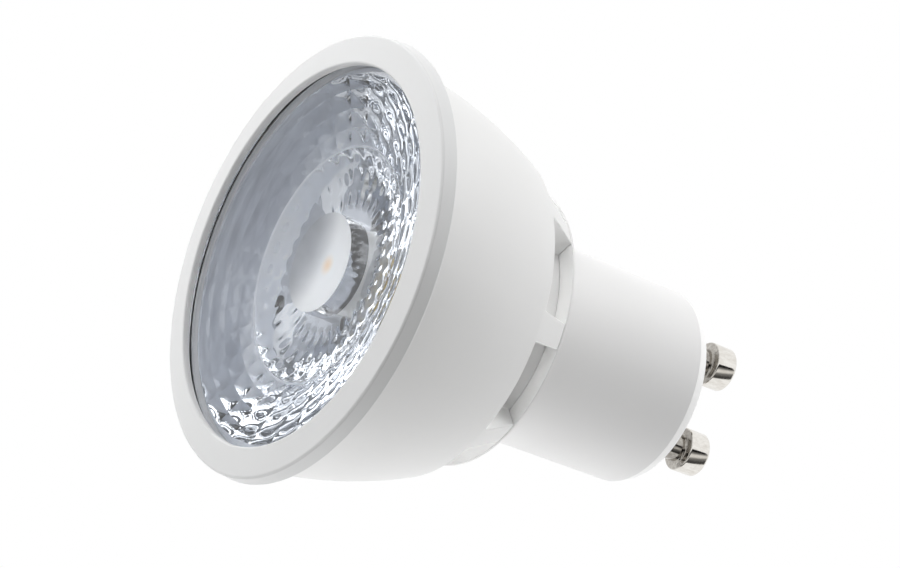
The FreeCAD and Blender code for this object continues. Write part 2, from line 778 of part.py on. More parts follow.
def all_parts():
    return {
        "front_bezel": front_bezel(),
        "lens": lens(),
        "housing_bowl": housing(),
        "base_cap": base_cap(),
        "contact_pin_left": contact_pin(-1),
        "contact_pin_right": contact_pin(1),
        "heatsink_cup": heatsink_cup(),
        "thermal_pad": thermal_pad(),
        "led_board": led_board(),
        "led_substrate": led_substrate(),
        "led_phosphor": led_phosphor(),
        "board_screws": board_screws(),
        "driver_board": driver_board(),
        "bulk_capacitor": bulk_capacitor(),
        "transformer_core": transformer_core(),
        "transformer_bobbin": transformer_bobbin(),
        "transformer_winding": transformer_winding(),
        "film_capacitor": film_capacitor(),
        "varistor": varistor(),
        "fusible_resistor": fusible_resistor(),
        "bridge_rectifier": bridge_rectifier(),
        "driver_controller": driver_controller(),
        "input_wire_left": input_wire(-1),
        "input_wire_right": input_wire(1),
        "output_wire_left": output_wire(-1),
        "output_wire_right": output_wire(1),
    }


os.makedirs("parts", exist_ok=True)
for node_name, node_shape in all_parts().items():
    node_shape.exportStep(f"parts/{node_name}.step")
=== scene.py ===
import json
import math
import bmesh
import bpy
from mathutils import Matrix, Vector

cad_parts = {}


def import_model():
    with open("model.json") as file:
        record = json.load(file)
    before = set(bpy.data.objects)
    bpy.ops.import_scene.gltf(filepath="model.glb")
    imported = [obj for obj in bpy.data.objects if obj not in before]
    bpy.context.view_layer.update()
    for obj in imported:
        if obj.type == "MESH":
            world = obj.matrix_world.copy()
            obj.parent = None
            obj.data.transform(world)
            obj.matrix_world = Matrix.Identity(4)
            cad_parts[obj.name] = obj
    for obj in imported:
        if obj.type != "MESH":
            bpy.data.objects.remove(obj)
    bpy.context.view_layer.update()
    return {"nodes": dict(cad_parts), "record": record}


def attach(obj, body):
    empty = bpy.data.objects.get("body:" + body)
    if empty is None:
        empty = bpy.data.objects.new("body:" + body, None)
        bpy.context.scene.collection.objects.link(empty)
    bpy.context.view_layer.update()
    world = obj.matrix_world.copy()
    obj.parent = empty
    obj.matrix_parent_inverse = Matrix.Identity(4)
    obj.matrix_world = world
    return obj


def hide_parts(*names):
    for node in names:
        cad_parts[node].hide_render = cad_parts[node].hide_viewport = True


# A two-pin reflector lamp, dressed for a studio picture. Lengths are in millimetres; MM makes them metres.
MM = 0.001

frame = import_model()

# Camera of the photograph, in the frame of the part
CAMERA_PLACE = Vector((-63.862, 554.731, -317.737))
CAMERA_RIGHT = Vector((0.30284, 0.52117, 0.79792))
CAMERA_UP = Vector((0.94754, -0.07477, -0.31078))
CAMERA_AHEAD = Vector((0.10231, -0.85017, 0.51647))
CAMERA_LENS = 240.0
AIM = Vector((3.324, -3.589, 21.434))

# Sizes shared with the part's solids
FIT = 0.1
BEZEL_R = 25.0
BEZEL_CROWN = 0.55
BEZEL_DEPTH = 2.35
BEZEL_FLARE = 0.2
BEZEL_EDGE = 0.25
LIP_R = 21.6
LIP_DEPTH = 0.9
LENS_FRONT = 0.95
LENS_RIM_R = 22.3
FACET_COUNT = 32
FACET_ROW_ENDS = (0.0, 0.2, 0.47, 0.74, 1.0)
FACET_RIM_R = 21.0
FACET_ROOT_R = 13.6
FACET_DEPTH = 5.25
FACET_BULGE = 0.37
LENS_TAIL = 11.2
LENS_TAIL_R = 6.6
TAIL_BULGE = 0.95
CAVITY_R = 5.65
CAVITY_ROOF = 5.65
PEARL_HEIGHT = 2.4
BOWL_FRONT_R = 23.3
BOWL_SLOT_R = 18.85
BOWL_BULGE = 0.84
BOWL_WALL = 1.2
SLOT_Z = 20.2
SHOULDER_Z = 24.85
SHOULDER_R = 16.0
SLOT_COUNT = 8
RIB_ANGLE = 10.4
SLOT_FLOOR_R = 13.7
SLOT_CORNER = 0.5
BORE_R = 12.6
FLANGE_RIM = 0.3
FLANGE_SLOPE = 1.3
NECK_ROOT_R = 11.45
NECK_END_R = 11.2
NECK_END_Z = 47.75
NECK_WALL = 1.2
END_WALL = 1.6
SPIGOT_DEPTH = 3.5
THROAT_TAPER = 2.5
PIN_SPACING = 10.0
PIN_HEAD_R = 2.5
PIN_HEAD_LENGTH = 2.65
PIN_STEM_R = 1.55
PIN_TIP = 56.85
PIN_EDGE = 0.18
PIN_COLLAR_R = 2.3
PIN_COLLAR = 0.8
PIN_TAIL_R = 0.9
PIN_TAIL = 2.0

# Detail that only the picture needs
NECK_CHAMFER = 0.6
NECK_CHAMFER_LENGTH = 1.3
NECK_ROOT_ROUND = 0.8
NECK_END_ROUND = 0.3
SPIGOT_ROUND = 0.3
NECK_INSIDE_ROUND = 0.5
PIN_FACE_ROUND = 0.27
PIN_STEM_ROUND = 0.3
LENS_EDGE = 0.12
FACET_PILLOW = 0.15
TAIL_PILLOW = 0.13
TAIL_INSET = 0.05
WARM_SPOT_R = 1.5

# How finely the shapes are cut
SEGMENTS = 256
BEZEL_SEGMENTS = 320
PIN_SEGMENTS = 128
CORNER_STEPS = 6
PIN_CORNER_STEPS = 5
BOWL_STEPS = 40
BOWL_INSIDE_STEPS = 8
SLOT_STEPS = 14
SLOT_END_ANGLE = 3.4
RIB_SHARES = (0.0, 0.16, 0.38, 0.62, 0.84)
RIB_LEVELS = (0.0, 1.1, 2.9)
BEVEL_SEGMENTS = 4
FRONT_RINGS = (6.0, 12.0, 18.0)
FACET_STEPS = 8
TAIL_ROWS = 3
TAIL_STEPS = 8
DOME_STEPS = 16
POINT_R = 0.001
SHARP_ANGLE = 32.0
NORMAL_WEIGHT = 80

# Mesh points nearer than these are merged, and edges shorter than the last are dissolved; in metres
MERGE_DISTANCE = 2e-7
LENS_MERGE_DISTANCE = 2e-6
LEAST_EDGE = 1e-8


# Outlines and meshes

def rounded(corners, steps):
    """Points of a closed (r, z) outline; a third value rounds its corner."""
    points = [Vector(corner[:2]) for corner in corners]
    outline = []
    for index, point in enumerate(points):
        radius = corners[index][2] if len(corners[index]) > 2 else 0.0
        if radius <= 0:
            outline.append(point)
            continue
        back = (points[index - 1] - point).normalized()
        ahead = (points[(index + 1) % len(points)] - point).normalized()
        half = back.angle(ahead) / 2
        reach = radius / math.tan(half)
        centre = point + (back + ahead).normalized() * (radius / math.sin(half))
        start = point + back * reach - centre
        end = point + ahead * reach - centre
        sweep = start.angle_signed(end)
        for step in range(steps + 1):
            turned = start.copy()
            turned.rotate(Matrix.Rotation(-sweep * step / steps, 2))
            outline.append(centre + turned)
    return outline


def finish_piece(name, bm, materials, node, sharp=SHARP_ANGLE):
    """Turns the mesh being built into a piece that stands for a node."""
    bmesh.ops.remove_doubles(bm, verts=bm.verts, dist=MERGE_DISTANCE)
    bmesh.ops.dissolve_degenerate(bm, edges=bm.edges, dist=LEAST_EDGE)
    bmesh.ops.recalc_face_normals(bm, faces=bm.faces)
    mesh = bpy.data.meshes.new(name)
    for face in bm.faces:
        face.smooth = True
    bm.to_mesh(mesh)
    bm.free()
    if sharp:
        mesh.set_sharp_from_angle(angle=math.radians(sharp))
    piece = bpy.data.objects.new(name, mesh)
    bpy.context.scene.collection.objects.link(piece)
    for material in materials:
        mesh.materials.append(material)
    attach(piece, "root")
    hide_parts(node)
    return piece


def weighted(piece):
    """Lets the large faces set the shading, and the rounded edges between them blend."""
    modifier = piece.modifiers.new("even_normals", "WEIGHTED_NORMAL")
    modifier.weight = NORMAL_WEIGHT
    modifier.keep_sharp = True


def add_lathe(bm, outline, segments, x):
    """Turns a closed outline round an upright line at x."""
    rings = []
    for radius, z in outline:
        ring = []
        for index in range(segments):
            angle = 2 * math.pi * index / segments
            place = ((x + radius * math.cos(angle)) * MM, radius * math.sin(angle) * MM, z * MM)
            ring.append(bm.verts.new(place))
        rings.append(ring)
    for first, second in zip(rings, rings[1:] + rings[:1]):
        for index in range(segments):
            after = (index + 1) % segments
            bm.faces.new((first[index], first[after], second[after], second[index]))


def lathe(name, corners, material, node, segments=SEGMENTS, steps=CORNER_STEPS, x=0.0):
    """A turned piece from the corners of its outline."""
    bm = bmesh.new()
    add_lathe(bm, rounded(corners, steps), segments, x)
    piece = finish_piece(name, bm, [material], node)
    weighted(piece)
    return piece


def second_finish(piece, material, is_picked):
    """Gives another finish to the faces that a test of their (r, z) place picks."""
    index = len(piece.data.materials)
    piece.data.materials.append(material)
    for polygon in piece.data.polygons:
        centre = polygon.center / MM
        if is_picked(centre.xy.length, centre.z):
            polygon.material_index = index


# Materials

EVEN = (1.0, 1.0, 1.0)
NOISE_RANGE = (0.3, 0.7)
CLOUD_SCALE = 55.0
GLOSS_SCALE = 900.0
GRAIN_SCALE = 5200.0
TOOL_MARK_SCALE = 2500.0
STAIN_SCALE = 300.0
# How far roughness wanders to either side
PLASTIC_WANDER = 0.04
METAL_WANDER = 0.05
# Depths of the bumps, in metres
GRAIN_DEPTH = 0.00002
TOOL_MARK_DEPTH = 0.00001
FLOW_DEPTH = 0.00004


def new_material(name):
    material = bpy.data.materials.new(name)
    material.use_nodes = True
    tree = material.node_tree
    return material, tree, tree.nodes["Principled BSDF"]


def own_place(tree):
    """The piece's own coordinates, in metres."""
    return tree.nodes.new("ShaderNodeTexCoord").outputs["Object"]


def noise(tree, scale, detail=3.0, roughness=0.55, stretch=EVEN):
    mapping = tree.nodes.new("ShaderNodeMapping")
    mapping.inputs["Scale"].default_value = stretch
    texture = tree.nodes.new("ShaderNodeTexNoise")
    texture.inputs["Scale"].default_value = scale
    texture.inputs["Detail"].default_value = detail
    texture.inputs["Roughness"].default_value = roughness
    tree.links.new(own_place(tree), mapping.inputs["Vector"])
    tree.links.new(mapping.outputs["Vector"], texture.inputs["Vector"])
    return texture.outputs["Fac"]


def turned_marks(tree, scale):
    """A wavy value that runs in rings round the part's axis."""
    texture = tree.nodes.new("ShaderNodeTexWave")
    texture.wave_type = "RINGS"
    texture.rings_direction = "Z"
    texture.inputs["Scale"].default_value = scale
    texture.inputs["Distortion"].default_value = 1.5
    texture.inputs["Detail"].default_value = 3.0
    tree.links.new(own_place(tree), texture.inputs["Vector"])
    return texture.outputs["Fac"]


def map_range(tree, value, source, target=(0.0, 1.0), smooth=False):
    """Maps a value from one range onto another and holds it at the ends."""
    node = tree.nodes.new("ShaderNodeMapRange")
    if smooth:
        node.interpolation_type = "SMOOTHSTEP"
    node.inputs["From Min"].default_value = source[0]
    node.inputs["From Max"].default_value = source[1]
    node.inputs["To Min"].default_value = target[0]
    node.inputs["To Max"].default_value = target[1]
    tree.links.new(value, node.inputs["Value"])
    return node.outputs["Result"]


def spread(tree, value, low, high):
    """Spreads a noise value over a range."""
    return map_range(tree, value, NOISE_RANGE, (low, high))


def own_axis(tree, axis):
    """One of the piece's own coordinates."""
    split = tree.nodes.new("ShaderNodeSeparateXYZ")
    tree.links.new(own_place(tree), split.inputs["Vector"])
    return split.outputs[axis]


def height_share(tree, low, high):
    """0 at one height of the part and 1 at another, in millimetres, smooth between."""
    return map_range(tree, own_axis(tree, "Z"), (low * MM, high * MM), smooth=True)


def off_axis(tree, x=0.0, y=0.0):
    """How far a place lies from an upright line through x and y, in metres."""
    flat = tree.nodes.new("ShaderNodeVectorMath")
    flat.operation = "MULTIPLY"
    flat.inputs[1].default_value = (1.0, 1.0, 0.0)
    tree.links.new(own_place(tree), flat.inputs[0])
    away = tree.nodes.new("ShaderNodeVectorMath")
    away.operation = "DISTANCE"
    away.inputs[1].default_value = (x * MM, y * MM, 0.0)
    tree.links.new(flat.outputs["Vector"], away.inputs[0])
    return away.outputs["Value"]


def mix_colours(tree, share, first, second):
    """Mixes two colours; each is given outright or comes from another node."""
    node = tree.nodes.new("ShaderNodeMix")
    node.data_type = "RGBA"
    tree.links.new(share, node.inputs["Factor"])
    for socket, colour in (("A", first), ("B", second)):
        if isinstance(colour, tuple):
            node.inputs[socket].default_value = (*colour, 1.0)
        else:
            tree.links.new(colour, node.inputs[socket])
    return node.outputs["Result"]


def clouded(tree, value, first, second):
    """A colour that a noise value moves between two near ones."""
    return mix_colours(tree, spread(tree, value, 0.0, 1.0), first, second)


def bump(tree, value, strength, depth):
    node = tree.nodes.new("ShaderNodeBump")
    node.inputs["Strength"].default_value = strength
    node.inputs["Distance"].default_value = depth
    tree.links.new(value, node.inputs["Height"])
    return node.outputs["Normal"]


def dress(tree, shader, colour, roughness, normal):
    """Links what varies over a surface to its shader."""
    tree.links.new(colour, shader.inputs["Base Color"])
    tree.links.new(roughness, shader.inputs["Roughness"])
    tree.links.new(normal, shader.inputs["Normal"])


def plastic(name, first, second, roughness, grain=0.12, gloss=0.5):
    """Moulded plastic: a faint cloud in the colour, a fine eroded grain, uneven gloss."""
    material, tree, shader = new_material(name)
    colour = clouded(tree, noise(tree, CLOUD_SCALE, detail=2.0), first, second)
    worn = spread(tree, noise(tree, GLOSS_SCALE), roughness - PLASTIC_WANDER, roughness + PLASTIC_WANDER)
    fine = noise(tree, GRAIN_SCALE, detail=4.0, roughness=0.6)
    dress(tree, shader, colour, worn, bump(tree, fine, grain, GRAIN_DEPTH))
    shader.inputs["Specular IOR Level"].default_value = gloss
    return material


def metal(name, first, second, roughness):
    """Bare metal with fine tool marks."""
    material, tree, shader = new_material(name)
    marks = noise(tree, TOOL_MARK_SCALE, detail=5.0, roughness=0.65)
    colour = clouded(tree, noise(tree, STAIN_SCALE), first, second)
    worn = spread(tree, marks, roughness - METAL_WANDER, roughness + METAL_WANDER)
    dress(tree, shader, colour, worn, bump(tree, marks, 0.1, TOOL_MARK_DEPTH))
    shader.inputs["Metallic"].default_value = 1.0
    return material


def clear_plastic():
    """Clear moulding, a little blue in depth, with a faint flow in its skin."""
    material, tree, shader = new_material("clear_lens")
    shader.inputs["Base Color"].default_value = (0.985, 0.99, 1.0, 1.0)
    shader.inputs["Transmission Weight"].default_value = 1.0
    shader.inputs["IOR"].default_value = 1.49
    flow = noise(tree, 260.0, detail=2.0)
    tree.links.new(spread(tree, noise(tree, 700.0), 0.0, 0.008), shader.inputs["Roughness"])
    tree.links.new(bump(tree, flow, 0.06, FLOW_DEPTH), shader.inputs["Normal"])
    depth = tree.nodes.new("ShaderNodeVolumeAbsorption")
    depth.inputs["Color"].default_value = (0.2, 0.35, 0.55, 1.0)
    depth.inputs["Density"].default_value = 10.0
    tree.links.new(depth.outputs["Volume"], tree.nodes["Material Output"].inputs["Volume"])
    return material


# The pearl is painted light towards this side and painted shade away from it; the shares of the hollow's
# radius say where the change starts and ends
PAINTED_LIGHT_SIDE = (-0.25, 0.97, 0.0)
PAINTED_SHADE_UNTIL = -0.8
PAINTED_LIGHT_FROM = 0.1


def frosted_plastic():
    """The pearl: an eroded roof that scatters, painted shade on one side and painted light on the other,
    warm where the light source shows through.
    """
    material, tree, shader = new_material("frosted_lens")
    sideways = tree.nodes.new("ShaderNodeVectorMath")
    sideways.operation = "DOT_PRODUCT"
    sideways.inputs[1].default_value = PAINTED_LIGHT_SIDE
    tree.links.new(own_place(tree), sideways.inputs[0])
    change = (PAINTED_SHADE_UNTIL * CAVITY_R * MM, PAINTED_LIGHT_FROM * CAVITY_R * MM)
    # painted shade and painted light: the pearl goes grey on one side and near white on the other
    pale = map_range(tree, sideways.outputs["Value"], change, smooth=True)
    grey = clouded(tree, noise(tree, 320.0, detail=2.0), (0.38, 0.395, 0.42), (0.46, 0.475, 0.50))
    pearl = mix_colours(tree, pale, grey, (1.0, 1.0, 0.99))
    off_spot = map_range(tree, off_axis(tree), (0.0, WARM_SPOT_R * MM), smooth=True)
    tree.links.new(mix_colours(tree, off_spot, (1.0, 0.80, 0.60), pearl), shader.inputs["Base Color"])
    shader.inputs["Roughness"].default_value = 0.6
    tree.links.new(bump(tree, noise(tree, 9000.0), 0.1, GRAIN_DEPTH), shader.inputs["Normal"])
    return material


# Heights from the underside of a pin's head between which the stem's painted shade gives way to the bright
# head
PAINTED_SHADE_END = -0.05
BRIGHT_START = 0.12


def nickel():
    """Plated pins: bright on the heads, painted dark below them as painted shade, with a faint cloud of
    stain all over.
    """
    material, tree, shader = new_material("nickel_pin")
    marks = noise(tree, 900.0, detail=5.0, roughness=0.7, stretch=(0.4, 0.4, 14.0))
    stain = noise(tree, 2200.0, detail=5.0, roughness=0.7, stretch=(1.0, 1.0, 0.5))
    under_head = PIN_TIP - PIN_HEAD_LENGTH
    bare_nickel = clouded(tree, stain, (0.70, 0.67, 0.62), (0.88, 0.86, 0.82))
    # painted shade: the stems and the heads' undersides are coloured dark, a painted reflection of the
    # shaded end face
    dull = clouded(tree, stain, (0.24, 0.22, 0.20), (0.52, 0.50, 0.46))
    bright = height_share(tree, under_head + PAINTED_SHADE_END, under_head + BRIGHT_START)
    colour = mix_colours(tree, bright, dull, bare_nickel)
    dress(tree, shader, colour, spread(tree, marks, 0.04, 0.12), bump(tree, marks, 0.12, TOOL_MARK_DEPTH))
    shader.inputs["Metallic"].default_value = 1.0
    return material


# Heights between which the cup's dull wall turns into its brighter floor
WALL_END_Z = 12.5
FLOOR_START_Z = 15.5


def cup_aluminium():
    """Pressed cup: matt, with turned rings in its surface and a faint cloud in its colour, and brighter
    towards its floor.
    """
    material, tree, shader = new_material("bare_aluminium")
    marks = turned_marks(tree, 900.0)
    cloud = noise(tree, 600.0, stretch=(0.3, 0.3, 1.0))
    wall = clouded(tree, cloud, (0.44, 0.475, 0.545), (0.65, 0.69, 0.76))
    bottom = clouded(tree, cloud, (0.92, 0.95, 1.0), (0.98, 0.99, 1.0))
    colour = mix_colours(tree, height_share(tree, WALL_END_Z, FLOOR_START_Z), wall, bottom)
    dress(tree, shader, colour, spread(tree, cloud, 0.38, 0.5), bump(tree, marks, 0.15, GRAIN_DEPTH))
    shader.inputs["Metallic"].default_value = 0.05
    return material


# Marks on the light source's board, places (x, y) and radii: a black half disc and a dark spot that are
# painted shade, and pale tin pads
SHADE_DISC_CENTRE = (1.5, 0.0)
SHADE_DISC_R = 10.25
SHADE_DISC_FROM_Y = 1.0
SHADE_DISC_FULL_Y = 1.4
PALE_PADS = ((-5.7, -8.6), (7.8, -7.6))
PAD_R = 2.1
SHADE_SPOT = (-4.4, -11.6)
SHADE_SPOT_R = 1.1


def near_place(tree, place, radius):
    """1 inside a disc round a place of the board's face, 0 outside."""
    inside = tree.nodes.new("ShaderNodeMath")
    inside.operation = "LESS_THAN"
    inside.inputs[1].default_value = radius * MM
    tree.links.new(off_axis(tree, *place), inside.inputs[0])
    return inside.outputs["Value"]


def light_board():
    """Board mask: grey over the copper, painted shade as a black half disc on one side and a dark spot, and
    tinned pads.
    """
    material, tree, shader = new_material("board_mask")
    cloud = noise(tree, 500.0)
    black = clouded(tree, cloud, (0.012, 0.012, 0.014), (0.02, 0.02, 0.022))
    tin = clouded(tree, cloud, (0.90, 0.91, 0.92), (0.96, 0.97, 0.98))
    # painted shade: one half of the board is coloured black
    shade_half_disc = tree.nodes.new("ShaderNodeMath")
    shade_half_disc.operation = "MULTIPLY"
    half = map_range(tree, own_axis(tree, "Y"), (SHADE_DISC_FROM_Y * MM, SHADE_DISC_FULL_Y * MM))
    tree.links.new(half, shade_half_disc.inputs[0])
    tree.links.new(near_place(tree, SHADE_DISC_CENTRE, SHADE_DISC_R), shade_half_disc.inputs[1])
    colour = clouded(tree, cloud, (0.40, 0.42, 0.46), (0.52, 0.54, 0.58))
    colour = mix_colours(tree, shade_half_disc.outputs["Value"], colour, black)
    # painted shade: a dark spot on the board
    colour = mix_colours(tree, near_place(tree, SHADE_SPOT, SHADE_SPOT_R), colour, black)
    for pad in PALE_PADS:
        colour = mix_colours(tree, near_place(tree, pad, PAD_R), colour, tin)
    worn = spread(tree, noise(tree, GLOSS_SCALE), 0.4, 0.5)
    dress(tree, shader, colour, worn, bump(tree, noise(tree, GRAIN_SCALE, detail=4.0), 0.1, GRAIN_DEPTH))
    shader.inputs["Specular IOR Level"].default_value = 0.1
    return material


white_shell = plastic("white_shell", (0.80, 0.80, 0.795), (0.825, 0.825, 0.82), 0.46)
white_bezel = plastic("white_bezel", (0.80, 0.805, 0.805), (0.82, 0.825, 0.825), 0.36, grain=0.06)
white_base = plastic("white_base", (0.82, 0.818, 0.815), (0.84, 0.838, 0.835), 0.5)
# painted shade: a darker white for the bezel's outer side band, standing in for the shade that falls on
# that band
painted_shade_side = plastic("painted_shade_side", (0.72, 0.725, 0.725), (0.74, 0.745, 0.745), 0.42, grain=0.06)
# painted light: a lighter white than the rest, for the lens lip's wall, the slots, the flange's underside
# and the neck's chamfer, standing in for fill light there
painted_fill_white = plastic("painted_fill_white", (0.96, 0.96, 0.955), (0.98, 0.98, 0.975), 0.6, gloss=0.3)
clear_lens = clear_plastic()
frosted_lens = frosted_plastic()
witness_line = plastic("witness_line", (0.80, 0.83, 0.88), (0.95, 0.97, 1.0), 0.4, gloss=0.2)
nickel_pin = nickel()

# Plastics of the parts inside, by material slot of the record: two near colours, the roughness,
# and grain and gloss where they differ from the usual
INNER_PLASTICS = {
    "pad_grey": ((0.30, 0.31, 0.33), (0.36, 0.37, 0.39), 0.75),
    "ceramic_white": ((0.80, 0.80, 0.78), (0.84, 0.84, 0.82), 0.35),
    "phosphor_yellow": ((0.90, 0.62, 0.12), (0.94, 0.68, 0.18), 0.5, 0.12, 0.4),
    "green_board": ((0.03, 0.16, 0.07), (0.04, 0.20, 0.09), 0.4),
    "capacitor_sleeve": ((0.02, 0.022, 0.03), (0.03, 0.032, 0.04), 0.3, 0.03),
    "ferrite": ((0.035, 0.034, 0.035), (0.055, 0.052, 0.052), 0.6, 0.35),
    "bobbin_black": ((0.025, 0.025, 0.027), (0.035, 0.035, 0.037), 0.45),
    "winding_tape": ((0.75, 0.60, 0.10), (0.80, 0.66, 0.15), 0.3, 0.04),
    "film_yellow": ((0.72, 0.50, 0.06), (0.78, 0.56, 0.09), 0.35),
    "disc_blue": ((0.03, 0.12, 0.42), (0.04, 0.15, 0.48), 0.35),
    "resistor_green": ((0.10, 0.26, 0.16), (0.13, 0.31, 0.20), 0.45),
    "package_black": ((0.02, 0.02, 0.022), (0.03, 0.03, 0.032), 0.55, 0.2),
    "wire_black": ((0.02, 0.02, 0.02), (0.03, 0.03, 0.03), 0.4),
    "wire_red": ((0.55, 0.03, 0.02), (0.62, 0.04, 0.03), 0.4),
}
INNER = {
    "bare_aluminium": cup_aluminium(),
    "board_mask": light_board(),
    "zinc_screw": metal("zinc_screw", (0.62, 0.62, 0.60), (0.70, 0.70, 0.68), 0.3),
    "tinned_wire": metal("tinned_wire", (0.68, 0.68, 0.67), (0.76, 0.76, 0.75), 0.28),
}
for inner_slot, finish in INNER_PLASTICS.items():
    INNER[inner_slot] = plastic(inner_slot, *finish)


# Pieces of the outside

# Margins of the tests that pick faces for a second finish
LIP_MARGIN = 0.05
SIDE_MARGIN = 0.02
CROWN_MARGIN = 0.1
SHELF_MARGIN = 0.01
RIB_MARGIN = 0.4
SHOULDER_MARGIN = 0.1
FLANGE_MARGIN = 0.02
END_MARGIN = 0.05


def front_bezel():
    recess_r = LENS_RIM_R + FIT
    ring = lathe("bezel_ring", (
        (LIP_R, 0.0, BEZEL_EDGE),
        (BEZEL_R, BEZEL_CROWN, BEZEL_EDGE * 1.6),
        (BEZEL_R + BEZEL_FLARE, BEZEL_DEPTH, BEZEL_EDGE / 2),
        (recess_r, BEZEL_DEPTH),
        (recess_r, LIP_DEPTH),
        (LIP_R, LIP_DEPTH, BEZEL_EDGE / 3),
    ), white_bezel, "front_bezel", segments=BEZEL_SEGMENTS)

    def in_recess(radius, z):
        return radius < recess_r + LIP_MARGIN and z > BEZEL_EDGE

    def on_side(radius, z):
        return radius > BEZEL_R - SIDE_MARGIN and z > BEZEL_CROWN + CROWN_MARGIN

    # painted light on the wall of the lens recess
    second_finish(ring, painted_fill_white, in_recess)
    # painted shade on the bezel's outer side band
    second_finish(ring, painted_shade_side, on_side)


def bowl_circle():
    """Centre (z, r) and radius of the arc that the bowl's side follows."""
    half_z = (SLOT_Z - BEZEL_DEPTH) / 2
    half_r = (BOWL_FRONT_R - BOWL_SLOT_R) / 2
    half_chord = math.hypot(half_z, half_r)
    radius = (half_chord ** 2 + BOWL_BULGE ** 2) / (2 * BOWL_BULGE)
    back_off = radius - BOWL_BULGE
    centre_z = (SLOT_Z + BEZEL_DEPTH) / 2 - back_off * half_r / half_chord
    centre_r = (BOWL_FRONT_R + BOWL_SLOT_R) / 2 - back_off * half_z / half_chord
    return centre_z, centre_r, radius


def bowl_r(z, inset=0.0):
    """Radius of the bowl's side at a height, or of a line that runs inside it."""
    centre_z, centre_r, radius = bowl_circle()
    return centre_r + math.sqrt((radius - inset) ** 2 - (z - centre_z) ** 2)


def slot_angles():
    """Angles round one eighth of the shoulder: a rib, then a slot."""
    half = RIB_ANGLE / 2
    rib = [-half + RIB_ANGLE * share for share in RIB_SHARES]
    even = 360.0 / SLOT_COUNT - RIB_ANGLE - 2 * SLOT_END_ANGLE
    slot = [half]
    for step in range(SLOT_STEPS + 1):
        slot.append(half + SLOT_END_ANGLE + even * step / SLOT_STEPS)
    return rib, slot


# Which edges of the shoulder are rounded, and how much of the full round they take
BEVEL_FROM_ANGLE = 30
BEVEL_BELOW_SLOT = 0.5
BEVEL_INSIDE_FLOOR = 0.3
BEVEL_SHELF_HEIGHT = 0.2
RADIAL_COSINE = 0.9
SHELF_ROUND = 1.0
OTHER_ROUND = 0.3


def weigh_edges(bm):
    """Marks the edges of the shoulder that the bevel rounds."""
    weight = bm.edges.layers.float.new("bevel_weight_edge")
    for edge in bm.edges:
        if len(edge.link_faces) != 2 or edge.calc_face_angle(0.0) < math.radians(BEVEL_FROM_ANGLE):
            continue
        middle = (edge.verts[0].co + edge.verts[1].co) / 2 / MM
        if middle.z < SLOT_Z - BEVEL_BELOW_SLOT or middle.xy.length < SLOT_FLOOR_R - BEVEL_INSIDE_FLOOR:
            continue
        along = (edge.verts[1].co - edge.verts[0].co).normalized()
        radial = abs(along.dot(Vector((middle.x, middle.y, 0)).normalized())) > RADIAL_COSINE
        on_shelf = radial and middle.z < SLOT_Z + BEVEL_SHELF_HEIGHT
        edge[weight] = SHELF_ROUND if on_shelf else OTHER_ROUND


def housing():
    """Bowl with eight slots: one polar net, so every edge can be rounded evenly."""
    rib, slot = slot_angles()
    angles = []
    is_slot = []
    for turn in range(SLOT_COUNT):
        for index, angle in enumerate(rib + slot):
            angles.append(math.radians(angle + 360.0 * turn / SLOT_COUNT))
            is_slot.append(index >= len(rib))
    count = len(angles)
    bm = bmesh.new()
    made = {}

    def vert(radius, z, index):
        index %= count
        key = (round(radius, 5), round(z, 5), index)
        if key not in made:
            place = (radius * math.cos(angles[index]) * MM, radius * math.sin(angles[index]) * MM, z * MM)
            made[key] = bm.verts.new(place)
        return made[key]

    def strips(line, index):
        """Quads between the (r, z) places of a line over one step of the net."""
        for first, second in zip(line, line[1:]):
            bm.faces.new((
                vert(*first, index), vert(*first, index + 1), vert(*second, index + 1), vert(*second, index)
            ))

    outside = []
    for step in range(BOWL_STEPS + 1):
        z = BEZEL_DEPTH + (SLOT_Z - BEZEL_DEPTH) * step / BOWL_STEPS
        outside.append((bowl_r(z), z))
    inside = []
    shelf_z = SLOT_Z - BOWL_WALL
    for step in range(BOWL_INSIDE_STEPS + 1):
        z = shelf_z + (BEZEL_DEPTH - shelf_z) * step / BOWL_INSIDE_STEPS
        inside.append((bowl_r(z, BOWL_WALL), z))
    heights = [SLOT_Z + level for level in RIB_LEVELS] + [SHOULDER_Z]
    slope = (SHOULDER_R - BOWL_SLOT_R) / (SHOULDER_Z - SLOT_Z)
    rib_line = [(BOWL_SLOT_R + slope * (z - SLOT_Z), z) for z in heights]
    floor_line = [(SLOT_FLOOR_R, z) for z in heights]
    top = ((SLOT_FLOOR_R, SHOULDER_Z), (BORE_R, SHOULDER_Z), (BORE_R, shelf_z), inside[0])
    for index in range(count):
        strips(outside, index)
        strips(inside, index)
        strips((inside[-1], outside[0]), index)
        strips(top, index)
        if is_slot[index]:
            strips((rib_line[0], floor_line[0]), index)
            strips(floor_line, index)
        else:
            strips(rib_line, index)
            strips((rib_line[-1], floor_line[-1]), index)
    for index in range(count):
        if is_slot[index] != is_slot[index - 1]:
            for low in range(len(heights) - 1):
                bm.faces.new((
                    vert(*rib_line[low], index), vert(*rib_line[low + 1], index),
                    vert(*floor_line[low + 1], index), vert(*floor_line[low], index),
                ))
    bmesh.ops.recalc_face_normals(bm, faces=bm.faces)
    weigh_edges(bm)
    piece = finish_piece("bowl_shell", bm, [white_shell], "housing_bowl")
    bevel = piece.modifiers.new("soft_edges", "BEVEL")
    bevel.limit_method = "WEIGHT"
    bevel.width = SLOT_CORNER * MM
    bevel.segments = BEVEL_SEGMENTS
    bevel.use_clamp_overlap = False
    weighted(piece)

    def in_slot(radius, z):
        rib_r = BOWL_SLOT_R + slope * (z - SLOT_Z)
        return SLOT_Z - SHELF_MARGIN < z < SHOULDER_Z - SHOULDER_MARGIN and radius < rib_r - RIB_MARGIN

    # painted light on the slots' floors and walls
    second_finish(piece, painted_fill_white, in_slot)


